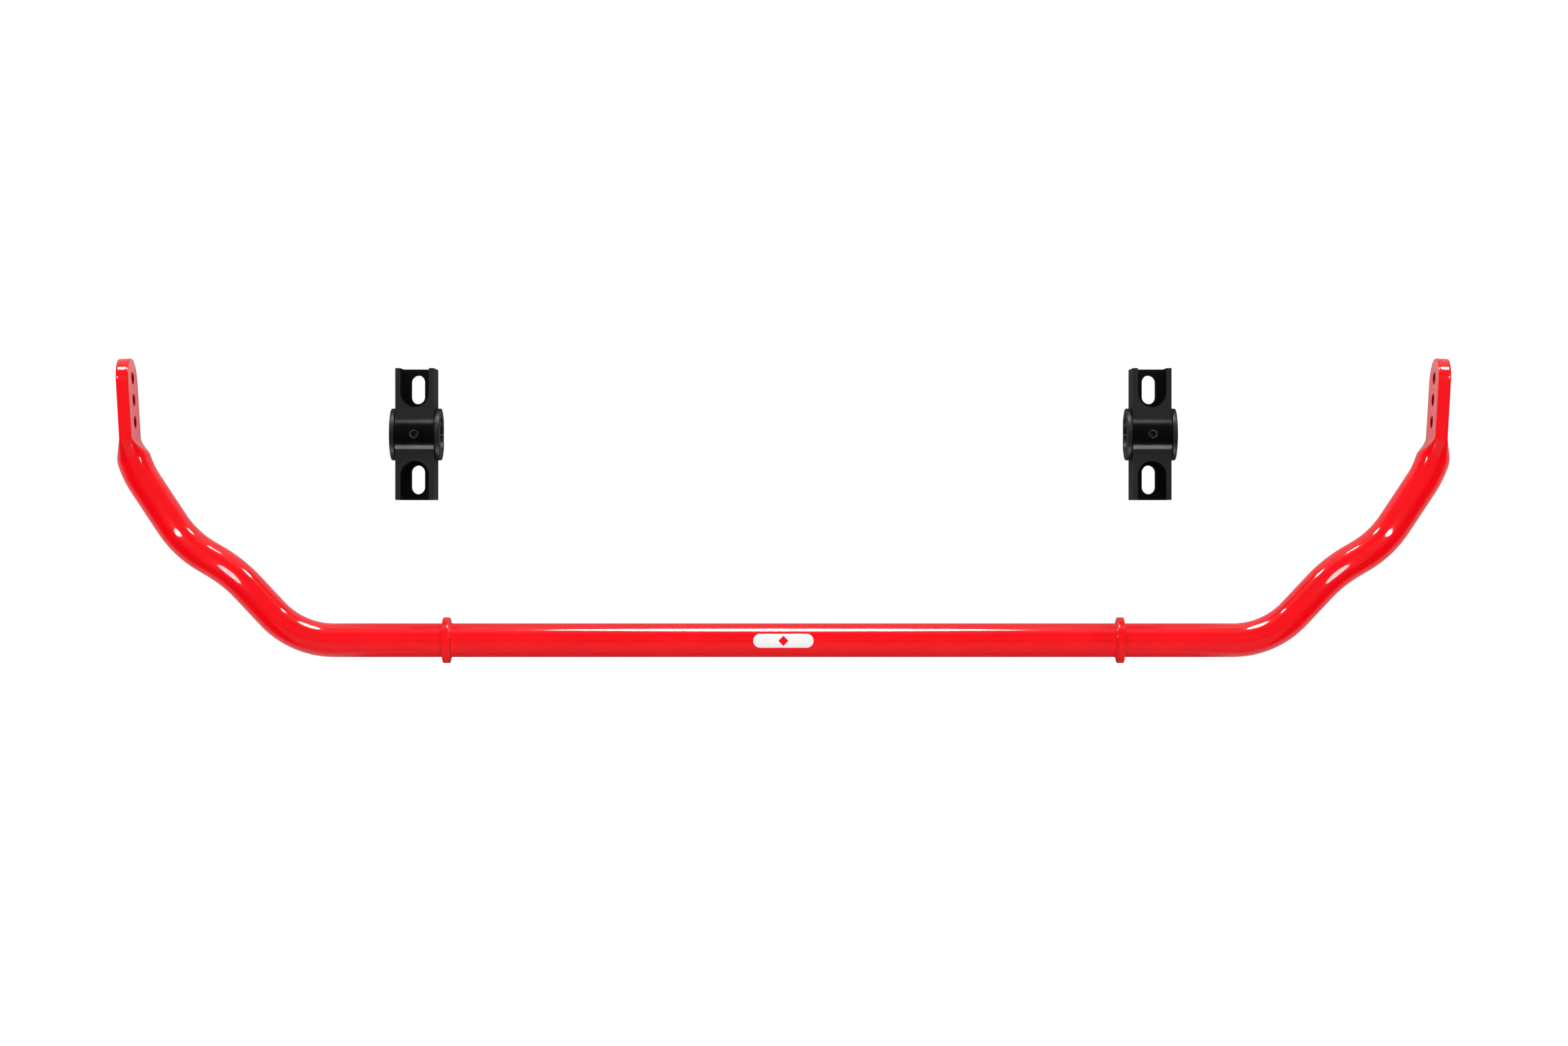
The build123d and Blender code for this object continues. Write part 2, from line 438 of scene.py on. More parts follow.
def bead_wobble(seed):
    """Displacement of the bead's points only, as a hand weld wanders."""
    def move(x, radius, angle):
        if x > -(COLLAR_HALF + 0.05) * MM or radius < (BAR_RADIUS - 0.1) * MM:
            return 0, 0
        spot = Vector((math.cos(angle) * 3.1, math.sin(angle) * 3.1, seed))
        slow = noise.noise(spot)
        ripple = noise.noise(spot * 5.0)
        reach = (0.22 * slow + 0.16 * ripple) * MM
        return -abs(reach) * 0.3 + reach * 0.3, reach * 0.8 - 0.1 * MM
    return move


collars = {}
for side, sign in SIDES.items():
    low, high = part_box(f"{side}_collar")
    outboard = high.x if sign > 0 else low.x
    centre = Vector((outboard - sign * COLLAR_HALF * MM, BAR_AXIS.y, BAR_AXIS.z))
    profile = [(x * sign, radius) for x, radius in collar_profile()]
    shift = bead_wobble(4.0 + sign)
    wobble = lambda x, radius, angle: shift(x * sign, radius, angle)
    ring = turned(f"{side}_collar_ring", profile, centre, segments=160, wobble=wobble)
    soften(ring, 40)
    collars[side] = ring
    print(ring.name, "at x =", round(centre.x, 4))

# %% [markdown]
# ## Saddle brackets
# The real bracket is milled from a bar of aluminium: an outline seen along the bore, then two deep
# U-shaped pockets from above and a bolt slot through each pocket's floor. The mesh is made by the
# same cuts, as booleans, and a bevel then breaks every edge. A bevel is worth its points here: a
# machined edge is never quite sharp, and its rounding catches a little light.

# %% Bracket block and its cuts
HALF_LENGTH = 54.5
HALF_BLOCK = 16.0
BASE = -18.0
EAR_TOP = 16.4
SADDLE = 18.0
DOME_RADIUS = 17.4
DOME_CENTRE = 4.6
POCKET_HALF = 11.8
POCKET_REACH = 22.2
POCKET_FLOOR = -8.0
SLOT_HALF = 5.9
SLOT_CENTRE = 37.6
SLOT_STRAIGHT = 6.1
PORT_RADIUS = 3.0
PORT_RIM = 0.6
PORT_BOTTOM = 10.0
EDGE_BREAK = 0.4
CUT_TOP = 30.0
CUT_BELOW = 5.0
CUT_PAST_END = 20.0


def block_outline():
    """The bracket seen along its bore, as (y, z)."""
    dome_side = math.degrees(math.asin((EAR_TOP - DOME_CENTRE) / DOME_RADIUS))
    points = [(-HALF_LENGTH, BASE), (-HALF_LENGTH, EAR_TOP)]
    points += arc(0, DOME_CENTRE, DOME_RADIUS, 180 - dome_side, dome_side, 44)
    points += [(HALF_LENGTH, EAR_TOP), (HALF_LENGTH, BASE), (SADDLE, BASE)]
    points += arc(0, 0, SADDLE, 0, 180, 72)
    points += [(-SADDLE, BASE)]
    return points


def stadium(half_wide, near, far, sign):
    """Slot outline as (x, y) with rounded ends, its length along Y."""
    points = arc(0, sign * near, half_wide, 0, -180 * sign, 40)
    points += arc(0, sign * far, half_wide, 180, 180 - 180 * sign, 40)
    return points


def bracket_cutters(at):
    """Pockets, bolt slots and grease port as closed meshes at one mount."""
    place = standing_at(at)
    cutters = []
    for sign in (-1, 1):
        near = POCKET_REACH + POCKET_HALF
        pocket = stadium(POCKET_HALF, near, HALF_LENGTH + CUT_PAST_END, sign)
        cutters.append(prism("pocket", pocket, POCKET_FLOOR, CUT_TOP, place))
        slot = stadium(SLOT_HALF, SLOT_CENTRE - SLOT_STRAIGHT, SLOT_CENTRE + SLOT_STRAIGHT, sign)
        cutters.append(prism("slot", slot, BASE - CUT_BELOW, CUT_TOP, place))
    port = arc(0, 0, PORT_RADIUS, 0, 354, 59)
    cutters.append(prism("port", port, PORT_BOTTOM, CUT_TOP, place))
    cutters.append(countersink(at))
    return cutters


def countersink(at):
    """Shallow cone that breaks the grease port's rim on the dome."""
    top = DOME_CENTRE + DOME_RADIUS
    levels = [(top - PORT_RIM, PORT_RADIUS - 0.02), (top + 1, PORT_RADIUS + PORT_RIM + 1)]
    points = []
    for height, radius in levels:
        points += [at + Vector((u, v, height)) * MM for u, v in arc(0, 0, radius, 0, 354, 59)]
    count = 60
    faces = rings_to_faces(len(levels), count)
    faces += [list(range(count)), [len(points) - 1 - i for i in range(count)]]
    return mesh_piece("countersink", points, faces)


def make_bracket(side):
    """One bracket: block, cuts, broken edges."""
    at = MOUNT_CENTRES[side]

    def lengthwise(u, v, depth):
        return at + Vector((depth, u, v)) * MM

    block = prism(f"{side}_bracket_body", block_outline(), -HALF_BLOCK, HALF_BLOCK, lengthwise)
    cut(block, bracket_cutters(at))
    bevel = block.modifiers.new("edge break", "BEVEL")
    bevel.width = EDGE_BREAK * MM
    bevel.segments = 2
    bevel.limit_method = "ANGLE"
    bevel.angle_limit = math.radians(28)
    bevel.harden_normals = False
    settle(block)
    soften(block, 40)
    weigh = block.modifiers.new("even shading", "WEIGHTED_NORMAL")
    weigh.keep_sharp = True
    settle(block)
    return block


brackets = {side: make_bracket(side) for side in SIDES}
for piece in brackets.values():
    print(piece.name, len(piece.data.polygons), "faces")

# %% [markdown]
# ## Bushings
# The bushing is a moulded sleeve with a flange at each end, so it is turned about the bore like the
# collars. Three cuts finish it: the flat underneath, which sits on the car, the slit that lets it
# spring over the bar, and the hole that leads grease in from the port. The slit springs almost shut
# again, so it is drawn as a hairline.

# %% Bushings
BORE = 14.05
NECK = 17.95
NECK_HALF = 16.7
FLANGE = 21.6
BUSHING_HALF = 20.75
FLANGE_EDGE = 0.8
FLAT_BELOW = -17.8
SLIT_HALF = 0.08
GREASE_HOLE_RADIUS = 1.5
CUT_OUT = 30.0
CUT_BOTTOM = -40.0


def bushing_profile():
    """Closed (x, radius) loop of the bushing, in metres."""
    edge = FLANGE_EDGE
    bore_edge = 0.5
    half = [(NECK_HALF, NECK), (NECK_HALF, FLANGE - edge)]
    half += arc(NECK_HALF + edge, FLANGE - edge, edge, 180, 90, 5)[1:]
    half += arc(BUSHING_HALF - edge, FLANGE - edge, edge, 90, 0, 5)
    half += arc(BUSHING_HALF - bore_edge, BORE + bore_edge, bore_edge, 0, -90, 4)
    other = [(-x, radius) for x, radius in reversed(half)]
    return [(x * MM, radius * MM) for x, radius in half + other]


def block_cutter(name, at, low, high):
    """Box-shaped cutter between two corners given in millimetres from a mount's centre."""
    outline = [(low[0], low[1]), (high[0], low[1]), (high[0], high[1]), (low[0], high[1])]
    return prism(name, outline, low[2], high[2], standing_at(at))


def make_bushing(side):
    """One bushing, cut flat below and slit."""
    at = MOUNT_CENTRES[side]
    sleeve = turned(f"{side}_bushing_sleeve", bushing_profile(), at, segments=144)
    out = CUT_OUT
    flat = block_cutter("flat", at, (-out, -out, CUT_BOTTOM), (out, out, FLAT_BELOW))
    slit = block_cutter("slit", at, (-out, -SLIT_HALF, CUT_BOTTOM + 1), (out, SLIT_HALF, 0))
    round_hole = arc(0, 0, GREASE_HOLE_RADIUS, 0, 345, 23)
    hole = prism("hole", round_hole, PORT_BOTTOM, CUT_TOP, standing_at(at))
    cut(sleeve, [flat, slit, hole])
    soften(sleeve, 35)
    return sleeve


bushings = {side: make_bushing(side) for side in SIDES}
print("bushings:", [len(piece.data.polygons) for piece in bushings.values()])

# %% [markdown]
# ## Grease port screws
# An M6 set screw closes the grease port, a little below the top of the dome. Its hexagon socket is
# what shows, so it is a real recess, and the screw's rim is broken so that it catches light.

# %% Grease port screws
SCREW_RADIUS = 2.95
SCREW_TOP = 21.65
SCREW_LENGTH = 3.3
SCREW_RIM = 0.35
SOCKET_FLATS = 3.0
SOCKET_DEPTH = 2.0


def make_screw(side):
    """One set screw standing in its port."""
    at = MOUNT_CENTRES[side]
    count = 60
    levels = [
        (SCREW_TOP - SCREW_LENGTH, SCREW_RADIUS - SCREW_RIM),
        (SCREW_TOP - SCREW_LENGTH + SCREW_RIM, SCREW_RADIUS),
        (SCREW_TOP - SCREW_RIM, SCREW_RADIUS),
        (SCREW_TOP, SCREW_RADIUS - SCREW_RIM),
    ]
    points = []
    for height, radius in levels:
        for u, v in arc(0, 0, radius, 0, 360 - 360 / count, count - 1):
            points.append(at + Vector((u, v, height)) * MM)
    faces = rings_to_faces(len(levels), count)
    faces += [list(range(count)), [len(points) - 1 - i for i in range(count)]]
    screw = mesh_piece(f"{side}_port_screw", points, faces)
    face_outwards(screw)
    corner = SOCKET_FLATS / math.sqrt(3)
    hexagon = arc(0, 0, corner, 30, 330, 5)
    socket = prism("socket", hexagon, SCREW_TOP - SOCKET_DEPTH, SCREW_TOP + 2, standing_at(at))
    cut(screw, [socket])
    bevel = screw.modifiers.new("rim", "BEVEL")
    bevel.width = 0.08 * MM
    bevel.segments = 2
    bevel.limit_method = "ANGLE"
    bevel.angle_limit = math.radians(40)
    settle(screw)
    soften(screw, 35)
    return screw


screws = {side: make_screw(side) for side in SIDES}
print("screws:", [piece.name for piece in screws.values()])

# %% [markdown]
# ## Centring mark
# A plain white mark is printed at the middle of the bar, so that a fitter can centre it. It is a thin
# film wrapped over the top of the tube: a lozenge-shaped window shows the red beneath. The outline
# is a formula, so the film is a grid of quads with no hidden triangles.

# %% Centring mark
MARK_HALF = 25.0
MARK_HALF_HIGH = 5.75
WINDOW_HALF = 4.24
FILM = 0.1


def film_point(x, y, lift):
    """A point on the bar's upper surface, from its flat place seen from above."""
    radius = BAR_RADIUS + lift
    return BAR_AXIS + Vector((x, y, math.sqrt(radius * radius - y * y))) * MM


def make_mark():
    """Two bands of quads, above and below the window, closed into a thin film."""
    columns, rows = 240, 8
    points, faces = [], []
    straight = MARK_HALF - MARK_HALF_HIGH
    for lift in (0.01, FILM):
        for column in range(columns + 1):
            x = -MARK_HALF * math.cos(math.pi * column / columns)
            beyond = max(abs(x) - straight, 0)
            outer = max(math.sqrt(max(MARK_HALF_HIGH**2 - beyond**2, 0)), 0.02)
            inner = max(WINDOW_HALF - abs(x), 0)
            for band in (-1, 1):
                for row in range(rows + 1):
                    y = band * (inner + (outer - inner) * row / rows)
                    points.append(film_point(x, y, lift))
    stride = 2 * (rows + 1)
    layer = stride * (columns + 1)
    for level in (0, 1):
        for column in range(columns):
            for band in (0, 1):
                for row in range(rows):
                    first = level * layer + column * stride + band * (rows + 1) + row
                    quad = [first, first + 1, first + stride + 1, first + stride]
                    faces.append(quad)
    mark = mesh_piece("centre_mark_film", points, faces)
    work = bmesh.new()
    work.from_mesh(mark.data)
    bmesh.ops.remove_doubles(work, verts=work.verts, dist=0.002 * MM)
    loose = [edge for edge in work.edges if edge.is_boundary]
    bmesh.ops.bridge_loops(work, edges=loose)
    work.to_mesh(mark.data)
    work.free()
    face_outwards(mark)
    soften(mark, 50)
    return mark


mark = make_mark()
print("mark:", len(mark.data.polygons), "faces")

# %% [markdown]
# ## Tools for finishes
# A finish is a small graph of nodes. `Finish` keeps the graph short to read: it makes the shader,
# joins nodes, and gives every material the same kind of object-space coordinates in metres, so a
# detail's size is a real size. Values that are the same everywhere are typed into the shader's own
# sockets.


# %% Finish helper
class Finish:
    """A new material with one Principled shader and room for detail."""

    def __init__(self, name, **settings):
        self.material = bpy.data.materials.new(name)
        self.material.use_nodes = True
        self.tree = self.material.node_tree
        self.shader = self.tree.nodes["Principled BSDF"]
        for socket, value in settings.items():
            self.shader.inputs[socket.replace("_", " ")].default_value = value
        self.place = self.tree.nodes.new("ShaderNodeTexCoord").outputs["Object"]

    def node(self, kind, links=None, **settings):
        """A node with its sockets set or linked by name or number."""
        made = self.tree.nodes.new(kind)
        for key, value in settings.items():
            setattr(made, key, value)
        for socket, value in (links or {}).items():
            if isinstance(value, bpy.types.NodeSocket):
                self.tree.links.new(value, made.inputs[socket])
            else:
                made.inputs[socket].default_value = value
        return made

    def noise(self, size, stretch=(1, 1, 1), detail=3, roughness=0.5):
        """Noise whose blobs are about size metres across, stretched along an axis."""
        scale = self.node("ShaderNodeMapping", {"Vector": self.place, "Scale": stretch})
        source = {"Vector": scale.outputs["Vector"], "Scale": 1 / size}
        source |= {"Detail": detail, "Roughness": roughness}
        return self.node("ShaderNodeTexNoise", source).outputs["Fac"]

    def spread(self, source, low, high, start=0.3, end=0.7):
        """Values from low to high as the source goes from start to end."""
        links = {0: source, "From Min": start, "From Max": end, "To Min": low, "To Max": high}
        return self.node("ShaderNodeMapRange", links, clamp=True).outputs["Result"]

    def tint(self, source, first, second):
        """Colour between two, by a 0 to 1 source."""
        mixed = self.node("ShaderNodeMix", {"Factor": source}, data_type="RGBA")
        mixed.inputs["A"].default_value = (*first, 1)
        mixed.inputs["B"].default_value = (*second, 1)
        return mixed.outputs["Result"]

    def bump(self, height, strength, depth, after=None):
        """Bump from a height, on top of another bump if one is given."""
        links = {"Height": height, "Strength": strength, "Distance": depth}
        if after:
            links["Normal"] = after
        return self.node("ShaderNodeBump", links).outputs["Normal"]

    def connect(self, source, socket):
        self.tree.links.new(source, self.shader.inputs[socket])


# %% [markdown]
# ## Red powder coat
# Powder coat is a thick baked plastic skin. One layer of gloss on a plain red shader would be too
# simple: the colour sits below a clear skin. So the base has almost no gloss of its own, only a
# faint sheen that softens its edges, and the clear coat does the mirroring. A second, much darker
# red is put on the walls of the link holes as painted shade, since little light gets into a hole.
# Three things keep it from being one flat colour: the red shifts a little from patch to patch, a
# slow waviness bends the reflections as orange peel does, and a fine grain breaks up their edges.

# %% Red powder coat
def red_powder_coat(name, deep, bright):
    coat = Finish(
        name,
        Coat_Weight=1.0,
        Coat_Roughness=0.07,
        Specular_IOR_Level=0.05,
        Sheen_Weight=0.07,
        Sheen_Roughness=0.4,
    )
    patch = coat.spread(coat.noise(0.03, detail=4), 0, 1)
    coat.connect(coat.tint(patch, deep, bright), "Base Color")
    coat.connect(coat.spread(coat.noise(0.004, detail=2), 0.3, 0.45), "Roughness")
    peel = coat.bump(coat.noise(0.009, detail=1), 0.06, 0.0002)
    fine = coat.bump(coat.noise(0.0014, detail=2), 0.03, 0.00002, after=peel)
    coat.connect(fine, "Normal")
    coat.connect(fine, "Coat Normal")
    return coat.material


# %% [markdown]
# ## Black anodised aluminium, milled and turned
# Every finish here is the same dyed oxide over machined metal. The ears are face-milled, so they are
# matt with fine grain. The dome is finished by a cutter that travels across the bar, which leaves
# smoother metal with fine lines across it. Those lines catch light as short streaks. Two more finishes
# are painted light: broken edges get a much paler colour as a painted highlight, and the pockets'
# floors and walls a much darker one as painted shade.

# %% Black anodised finishes
def anodised(name, metallic, rough_low, rough_high, line_strength, base, gloss=0.3):
    metal = Finish(name, Metallic=metallic, Specular_IOR_Level=gloss)
    lines = metal.noise(0.0011, stretch=(1, 0.03, 0.03), detail=5, roughness=0.65)
    cloud = metal.noise(0.012, detail=3)
    dark = tuple(value * 0.75 for value in base)
    metal.connect(metal.tint(metal.spread(cloud, 0, 1), dark, base), "Base Color")
    metal.connect(metal.spread(lines, rough_low, rough_high), "Roughness")
    grain = metal.bump(lines, line_strength, 0.00012)
    tooth = metal.bump(metal.noise(0.0004, detail=2), 0.12, 0.00005, after=grain)
    metal.connect(tooth, "Normal")
    return metal.material


# %% [markdown]
# ## Bushing plastic, port screw and print
# The bushing is a hard moulded plastic with a satin skin and faint flow marks. The screw is steel
# with a black oxide, a touch shinier than the anodising. The print is a slightly chalky white ink,
# which sits on the coat and takes some of its gloss.

# %% Small finishes
def bushing_plastic():
    skin = Finish("bushing plastic", Roughness=0.4, Specular_IOR_Level=0.3)
    flow = skin.noise(0.008, stretch=(0.5, 1, 1), detail=4)
    colour = skin.tint(skin.spread(flow, 0, 1), (0.006, 0.006, 0.006), (0.012, 0.012, 0.0115))
    skin.connect(colour, "Base Color")
    skin.connect(skin.spread(skin.noise(0.002, detail=3), 0.34, 0.5), "Roughness")
    skin.connect(skin.bump(skin.noise(0.0007, detail=3), 0.18, 0.00008), "Normal")
    return skin.material


def black_steel():
    steel = Finish("black oxide steel", Metallic=0.9)
    patches = steel.spread(steel.noise(0.001, detail=3), 0, 1)
    colour = steel.tint(patches, (0.014, 0.014, 0.015), (0.034, 0.034, 0.034))
    steel.connect(colour, "Base Color")
    steel.connect(steel.spread(steel.noise(0.0006), 0.22, 0.4), "Roughness")
    steel.connect(steel.bump(steel.noise(0.0004), 0.15, 0.00004), "Normal")
    return steel.material


def white_print():
    ink = Finish("white print", Roughness=0.3, Coat_Weight=0.3, Coat_Roughness=0.1)
    chalk = ink.spread(ink.noise(0.0016, detail=4), 0, 1)
    colour = ink.tint(chalk, (0.84, 0.80, 0.80), (0.93, 0.91, 0.90))
    ink.connect(colour, "Base Color")
    ink.connect(ink.bump(ink.noise(0.0006), 0.08, 0.00005), "Normal")
    return ink.material


# %% [markdown]
# ## Dressing the pieces
# Each new piece stands for its CAD node and moves with the body that node belongs to. A bracket's
# faces are sorted by place: the dome is turned metal, broken edges get a painted highlight, the
# pockets get painted shade, and the rest is milled.

# %% Give each piece its finish and its body
RED = red_powder_coat("red powder coat", (0.83, 0.0006, 0.0045), (0.90, 0.0010, 0.0062))
# The second red is painted shade for the walls of the link holes.
HOLE_SHADE_RED = red_powder_coat("painted shade in the holes", (0.16, 0.0006, 0.002), (0.22, 0.0010, 0.003))
MILLED = anodised("milled anodised", 0.1, 0.5, 0.62, 0.08, (0.0105, 0.0105, 0.0098))
# The pocket finish is painted shade: a far darker base for the pockets' floors and walls.
POCKET_SHADE = anodised("anodised with painted pocket shade", 0.1, 0.5, 0.62, 0.08, (0.0030, 0.0030, 0.0028), gloss=0.1)
TURNED = anodised("turned anodised", 0.95, 0.14, 0.24, 0.20, (0.038, 0.039, 0.041))
# The edge finish is a painted highlight: a far paler base for the broken edges and the port's rim.
EDGE_HIGHLIGHT = anodised("anodised with painted edge highlight", 0.2, 0.35, 0.5, 0.10, (0.09, 0.09, 0.09))
PLASTIC = bushing_plastic()
STEEL = black_steel()
INK = white_print()


def dress(piece, node, body, slot, *materials):
    """Finish, body and the CAD node that a piece stands for. The slot argument is not used."""
    piece.data.materials.clear()
    for material in materials:
        piece.data.materials.append(material)
    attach(piece, body)
    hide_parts(node)
    return piece


TOUCH = 0.1
DOME_HALF = 13.0
PORT_LOWEST = 20.0


def mark_bracket_faces(piece, at):
    """The dome gets the second finish, broken edges the third as a painted highlight, pockets the
    fourth as painted shade.
    """
    for face in piece.data.polygons:
        spot = (face.center - at) / MM
        from_axis = math.hypot(spot.y, spot.z - DOME_CENTRE)
        from_port = math.hypot(spot.x, spot.y)
        high = spot.z > EAR_TOP - 1.2 * EDGE_BREAK
        on_dome = high and abs(from_axis - DOME_RADIUS) < TOUCH and abs(spot.y) < DOME_HALF
        slanted = 0.2 < face.normal.z < 0.97
        near_port = from_port < PORT_RADIUS + PORT_RIM + TOUCH and spot.z > PORT_LOWEST
        edge = high and slanted and not on_dome
        reach = POCKET_REACH - TOUCH < abs(spot.y) < HALF_LENGTH - 3 * TOUCH
        depth = POCKET_FLOOR - 5 * TOUCH < spot.z < EAR_TOP - 5 * TOUCH
        in_pocket = reach and depth and abs(spot.x) < POCKET_HALF + TOUCH
        # Index 2 is the painted highlight on broken edges and the port's rim, index 3 the painted shade
        # in the pockets.
        face.material_index = 2 if edge or near_port and slanted else 3 if in_pocket else int(on_dome)


def mark_hole_walls(piece):
    """Painted shade inside the link holes: the walls that face along a paddle get the second, darker
    red.
    """
    for face in piece.data.polygons:
        spot = face.center - BAR_AXIS
        place = Vector((abs(spot.x), spot.y)) / MM
        for step in LINK_HOLE_STEPS:
            tip, way = ARM.at(ARM.length)
            from_hole = place - (tip - way * step)
            along = from_hole.dot(way)
            across = from_hole.cross(way)
            inside = math.hypot(along, spot.z / MM) < LINK_HOLE_RADIUS + TOUCH
            if inside and abs(across) < PADDLE_HALF_THIN - RIM_CHAMFER + TOUCH:
                face.material_index = 1


dress(bar, "sway_bar", "bar", "red_powder_coat", RED, HOLE_SHADE_RED)
mark_hole_walls(bar)
dress(mark, "centre_mark", "bar", "white_print", INK)
for side in SIDES:
    dress(collars[side], f"{side}_collar", "bar", "red_powder_coat", RED)
    finishes = (MILLED, TURNED, EDGE_HIGHLIGHT, POCKET_SHADE)
    dress(brackets[side], f"{side}_bracket", f"{side}_mount", "black_anodised", *finishes)
    mark_bracket_faces(brackets[side], MOUNT_CENTRES[side])
    dress(bushings[side], f"{side}_bushing", f"{side}_bushing", "black_bushing", PLASTIC)
    dress(screws[side], f"{side}_grease_screw", f"{side}_mount", "black_steel", STEEL)
print("pieces dressed:", 2 + 4 * len(SIDES))

# %% [markdown]
# ## Table
# A camera sees the table as pure white paper, but everything else sees a matt white surface with
# soft shadows on it. A Light Path node makes that split, so the red coat can mirror a real table top
# while the picture stays clean. The gloss sees a greyer table, with two patches of painted shade that
# only the gloss sees: a grey one behind the bar, and a black one in front that stands in for the bar's
# shadow on the table. They keep the bar's two edges red, where a mirror would turn them pale.

# %% White table and its patches of painted shade
TABLE_WHITE = (0.85, 0.85, 0.85)
TABLE_GREY = (0.50, 0.50, 0.50)
# Patches of painted shade that only gloss rays see: grey behind the bar, and black in front as the
# bar's painted shadow.
GLOSS_SHADE_PATCHES = [(1, 0.30, (0.20, 0.20, 0.20)), (-1, 1.00, (0.03, 0.03, 0.03))]
SHADE_PATCH_HALF_LENGTH = 0.38
SHADE_PATCH_FADE = 0.03


def shade_patch_mask(paint, way, reach):
    """1 on a patch of painted shade in front of the bar (way -1) or behind it (way 1), 0 elsewhere,
    soft edges.
    """
    place = paint.node("ShaderNodeSeparateXYZ", {0: paint.place})
    along = paint.node("ShaderNodeMath", {0: place.outputs["X"]}, operation="ABSOLUTE").outputs[0]
    from_bar = {0: place.outputs["Y"], 1: -BAR_AXIS.y}
    across = paint.node("ShaderNodeMath", from_bar, operation="ADD").outputs[0]
    outward = paint.node("ShaderNodeMath", {0: across, 1: way}, operation="MULTIPLY").outputs[0]
    mask = paint.spread(along, 1, 0, SHADE_PATCH_HALF_LENGTH - SHADE_PATCH_FADE, SHADE_PATCH_HALF_LENGTH)
    ends = [
        paint.spread(outward, 0, 1, 0, 0.006),
        paint.spread(outward, 1, 0, reach, reach + SHADE_PATCH_FADE),
    ]
    for end in ends:
        mask = paint.node("ShaderNodeMath", {0: mask, 1: end}, operation="MULTIPLY").outputs[0]
    return mask


def laid_over(paint, mask, below, above):
    """Colour that goes from a socket or value below to a plain colour above, by a mask."""
    mixed = paint.node("ShaderNodeMix", {"Factor": mask}, data_type="RGBA")
    if isinstance(below, bpy.types.NodeSocket):
        paint.tree.links.new(below, mixed.inputs["A"])
    else:
        mixed.inputs["A"].default_value = (*below, 1)
    mixed.inputs["B"].default_value = (*above, 1)
    return mixed.outputs["Result"]


def make_table():
    table = mesh_piece("table", [(-6, -6, 0), (6, -6, 0), (6, 6, 0), (-6, 6, 0)], [[0, 1, 2, 3]])
    table.location.z = -0.0006
    paint = Finish("white table", Roughness=0.9)
    path = paint.node("ShaderNodeLightPath")
    glossy = path.outputs["Is Glossy Ray"]
    colour = laid_over(paint, glossy, TABLE_WHITE, TABLE_GREY)
    for way, reach, patch_shade in GLOSS_SHADE_PATCHES:
        seen = {0: shade_patch_mask(paint, way, reach), 1: glossy}
        mask = paint.node("ShaderNodeMath", seen, operation="MULTIPLY").outputs[0]
        colour = laid_over(paint, mask, colour, patch_shade)
    paint.connect(colour, "Base Color")
    paper = paint.node("ShaderNodeEmission", {"Strength": 1.05})
    sources = {0: path.outputs["Is Camera Ray"], 1: paint.shader.outputs["BSDF"]}
    sources[2] = paper.outputs["Emission"]
    mix = paint.node("ShaderNodeMixShader", sources)
    output = paint.tree.nodes["Material Output"]
    paint.tree.links.new(mix.outputs["Shader"], output.inputs["Surface"])
    table.data.materials.append(paint.material)
    return table


make_table()

# %% [markdown]
# ## The room that the gloss sees
# A glossy tube is a mirror, so it shows the room. Straight above hangs a dark ceiling. The walls
# are pale at the sides and behind the bar, and dim in front. The world's colour is worked out from
# the direction: `height` is 1 straight up and 0 at the horizon. Two ramps, one for all the walls
# and one for the back wall, are joined by whichever is brighter.

# %% World
CEILING = 0.03


def make_room():
    world = bpy.data.worlds.new("studio")
    world.use_nodes = True
    tree = world.node_tree

    def ramp(source, start, end, low, high):
        node = tree.nodes.new("ShaderNodeMapRange")
        node.interpolation_type = "SMOOTHSTEP"
        for socket, value in zip(node.inputs[1:5], (start, end, low, high)):
            socket.default_value = value
        tree.links.new(source, node.inputs[0])
        return node.outputs[0]

    def combine(operation, first, second):
        node = tree.nodes.new("ShaderNodeMath")
        node.operation = operation
        tree.links.new(first, node.inputs[0])
        tree.links.new(second, node.inputs[1])
        return node.outputs[0]

    direction = tree.nodes.new("ShaderNodeSeparateXYZ")
    place = tree.nodes.new("ShaderNodeTexCoord")
    tree.links.new(place.outputs["Generated"], direction.inputs[0])
    height, back = direction.outputs["Z"], direction.outputs["Y"]
    walls = combine("MULTIPLY", ramp(height, 0.5, 0.1, CEILING, 0.5), ramp(back, -0.95, -0.7, 0.15, 1))
    back_wall = combine("MULTIPLY", ramp(height, 0.985, 0.45, 0.0, 0.36), ramp(back, -0.05, 0.15, 0, 1))
    brighter = combine("MAXIMUM", walls, back_wall)
    tree.links.new(brighter, tree.nodes["Background"].inputs["Strength"])
    bpy.context.scene.world = world


make_room()

# %% [markdown]
# ## Soft light
# Two kinds of lamp share the work. Wide washes give the colour its even strength, and a mirror
# would show them as huge white blurs, so the gloss doesn't see them. Small panels do the opposite:
# only the gloss sees them, and each draws one clean highlight. A studio gets the same result with
# polarised filters on some lamps.

# %% Washes and panels
BAR_SPOT = tuple(BAR_AXIS)


def lamp(name, place, target, size, power):
    """Rectangular area lamp that faces a target."""
    light = bpy.data.lights.new(name, "AREA")
    light.shape = "RECTANGLE"
    light.size, light.size_y = size
    light.energy = power
    holder = bpy.data.objects.new(name, light)
    bpy.context.scene.collection.objects.link(holder)
    holder.location = place
    holder.rotation_euler = (Vector(place) - Vector(target)).to_track_quat("Z", "Y").to_euler()
    return holder


def wash(name, place, size, power):
    """Wide lamp for colour only."""
    holder = lamp(name, place, (0, 0, 0), size, power)
    holder.visible_glossy = False
    return holder


def panel(name, place, target, size, brightness):
    """Lamp that only the gloss sees, as bright as the given radiance."""
    holder = lamp(name, place, target, size, brightness * math.pi * size[0] * size[1])
    holder.visible_diffuse = False
    return holder


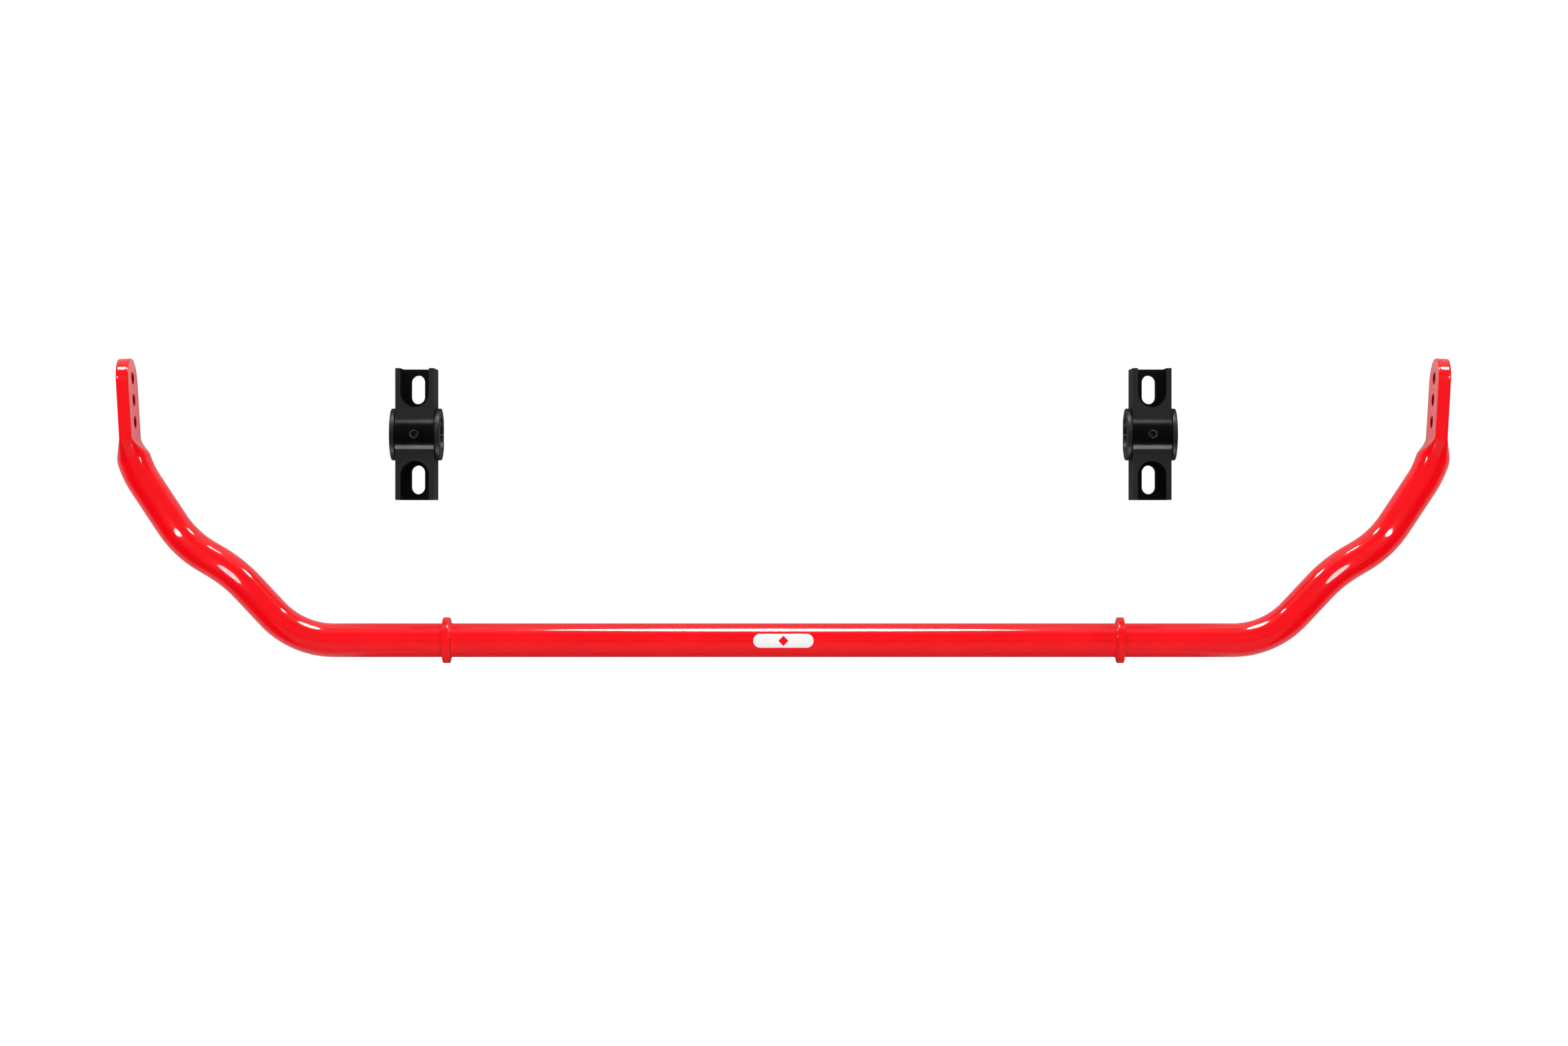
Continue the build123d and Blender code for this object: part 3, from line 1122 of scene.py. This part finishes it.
def around(angle, distance, x=0.0):
    """A place at an angle from straight up, turned about the bar towards +Y."""
    lean = math.radians(angle)
    return (x, BAR_AXIS.y + distance * math.sin(lean), BAR_AXIS.z + distance * math.cos(lean))


wash("overhead wash", (0, 0.1, 2.2), (3.2, 2.4), 46)
wash("back wash", (0, 2.0, 0.9), (3.0, 1.0), 30)
wash("front wash", (0, -1.7, 1.5), (3.0, 1.0), 19)
for sign in SIDES.values():
    wash("side wash", (sign * 2.3, 0.2, 0.6), (1.4, 0.8), 15)

line_panel = panel("line panel", around(76, 2.1), BAR_SPOT, (0.70, 0.80), 22)
line_panel.data.shape = "ELLIPSE"
for sign in SIDES.values():
    bend = panel("bend panel", (sign * 1.10, 2.0, 0.62), (-sign * 0.45, 0, 0), (0.24, 0.60), 26)
    tip = panel("tip panel", (sign * 1.15, 0.77, 1.5), (-sign * 0.53, 0.05, 0), (0.28, 0.28), 26)
    for holder in (bend, tip):
        holder.data.shape = "ELLIPSE"

# %% [markdown]
# ## Slats close over the bends
# Two small oval slats hang just above each arm, square to it, one over each bend. A far lamp draws
# a long streak down a round bar. A close slat draws a short soft spot, about as long as itself, and
# the straight middle of the bar can't see it. The camera doesn't see it either.

# %% Slats over the bends
SLAT_HEIGHT = 0.08
SLATS = {
    "elbow slat": ((504, 94), 50, (0.0070, 0.028), 22),
    "waist slat": ((466, 55), 38.6, (0.025, 0.027), 12),
}

for sign in SIDES.values():
    for name, ((x, y), arm_angle, size, brightness) in SLATS.items():
        spot = BAR_AXIS + Vector((sign * x, y, 0)) * MM
        place = (spot.x, spot.y, SLAT_HEIGHT)
        slat = panel(name, place, (spot.x, spot.y, 0), size, brightness)
        slat.rotation_euler = (0, 0, sign * math.radians(arm_angle))
        slat.data.shape = "ELLIPSE"
        slat.visible_camera = False

# %% [markdown]
# ## Linked lamps
# The black domes need a low strip of light on each side, to show that they are round, and the same
# strips would draw extra lines on the red bar. The bar in turn needs a pale screen in front of it,
# which would grey the domes. Light linking gives each lamp its own list of pieces.

# %% Front screen and mount strips
def only_for(name, pieces, holder):
    """Limit a lamp to some of the pieces."""
    group = bpy.data.collections.new(name)
    for piece in pieces:
        group.objects.link(piece)
    holder.light_linking.receiver_collection = group


mount_pieces = [group[side] for side in SIDES for group in (brackets, bushings, screws)]
bar_pieces = [bar, mark, *collars.values()]
screen = panel("front screen", (0, -1.39, 0.88), (0, -0.6, 0.1), (2.6, 2.3), 0.27)
screen.rotation_euler = (math.radians(51), 0, 0)
only_for("lit by the front screen", bar_pieces, screen)
for side in SIDES:
    centre = MOUNT_CENTRES[side]
    for name, way, brightness in (("near strip", -1, 5.0), ("far strip", 1, 0.7)):
        place = (centre.x, centre.y + way * 1.4, 0.36)
        strip = panel(name, place, tuple(centre), (1.3, 0.62), brightness)
        only_for(f"lit by the {side} {name}", mount_pieces, strip)

# %% Camera
CAMERA_HEIGHT = 2.65
CAMERA_REACH = 0.0974
FIELD = 1.3035
lens = bpy.data.cameras.new("camera")
lens.sensor_width = 36
lens.lens = 36 * CAMERA_HEIGHT / FIELD
camera = bpy.data.objects.new("camera", lens)
bpy.context.scene.collection.objects.link(camera)
camera.location = BAR_AXIS + Vector((0.0005, CAMERA_REACH, CAMERA_HEIGHT))
bpy.context.scene.camera = camera
bpy.context.scene.view_settings.view_transform = "Standard"
print("lens:", round(lens.lens, 2), "mm")
